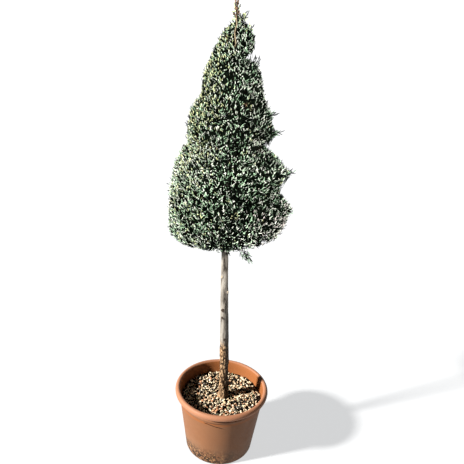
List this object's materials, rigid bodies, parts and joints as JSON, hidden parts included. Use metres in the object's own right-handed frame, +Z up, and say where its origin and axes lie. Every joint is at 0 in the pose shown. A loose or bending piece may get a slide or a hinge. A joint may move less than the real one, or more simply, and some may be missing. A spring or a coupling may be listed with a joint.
{
  "type": "potted cypress tree",
  "caption": "Cypress grown as a standard: clear stem under a dense clipped cone of blue-grey scale foliage, in a round terracotta-coloured pot topped with pale gravel.",
  "frame": {"origin": "centre of the pot's flat underside, on the ground", "axes": "+Z up along the pot's axis to the leader's tip; -Y is the front, the side that the picture shows; +X is to the right in it"},
  "size_m": [0.3787, 0.3769, 1.48],
  "materials": {
    "pot": "terracotta-coloured moulded plastic, slightly satin, with mud splashes low down",
    "substrate": "loose gravel chips in cream, beige and grey over dark potting mix",
    "bark": "grey-beige thin bark, flaky and red-brown at the foot",
    "foliage": "matt blue-grey to olive-green scale foliage"
  },
  "bodies": {
    "root": {"pot": "pot", "substrate": "substrate", "trunk": "bark", "foliage_skirt_1": "foliage", "bough_skirt_1": "bark", "foliage_skirt_2": "foliage", "bough_skirt_2": "bark", "foliage_skirt_3": "foliage", "bough_skirt_3": "bark", "foliage_skirt_4": "foliage", "bough_skirt_4": "bark", "foliage_skirt_5": "foliage", "bough_skirt_5": "bark", "foliage_skirt_6": "foliage", "bough_skirt_6": "bark", "foliage_lower_1": "foliage", "bough_lower_1": "bark", "foliage_lower_2": "foliage", "bough_lower_2": "bark", "foliage_lower_3": "foliage", "bough_lower_3": "bark", "foliage_lower_4": "foliage", "bough_lower_4": "bark", "foliage_lower_5": "foliage", "bough_lower_5": "bark", "foliage_lower_6": "foliage", "bough_lower_6": "bark", "foliage_middle_1": "foliage", "bough_middle_1": "bark", "foliage_middle_2": "foliage", "bough_middle_2": "bark", "foliage_middle_3": "foliage", "bough_middle_3": "bark", "foliage_middle_4": "foliage", "bough_middle_4": "bark", "foliage_middle_5": "foliage", "bough_middle_5": "bark", "foliage_upper_1": "foliage", "foliage_upper_2": "foliage", "foliage_upper_3": "foliage", "foliage_upper_4": "foliage", "foliage_top_1": "foliage", "foliage_top_2": "foliage", "foliage_top_3": "foliage", "foliage_leader_right": "foliage", "foliage_leader_left": "foliage"}
  },
  "joints": []
}
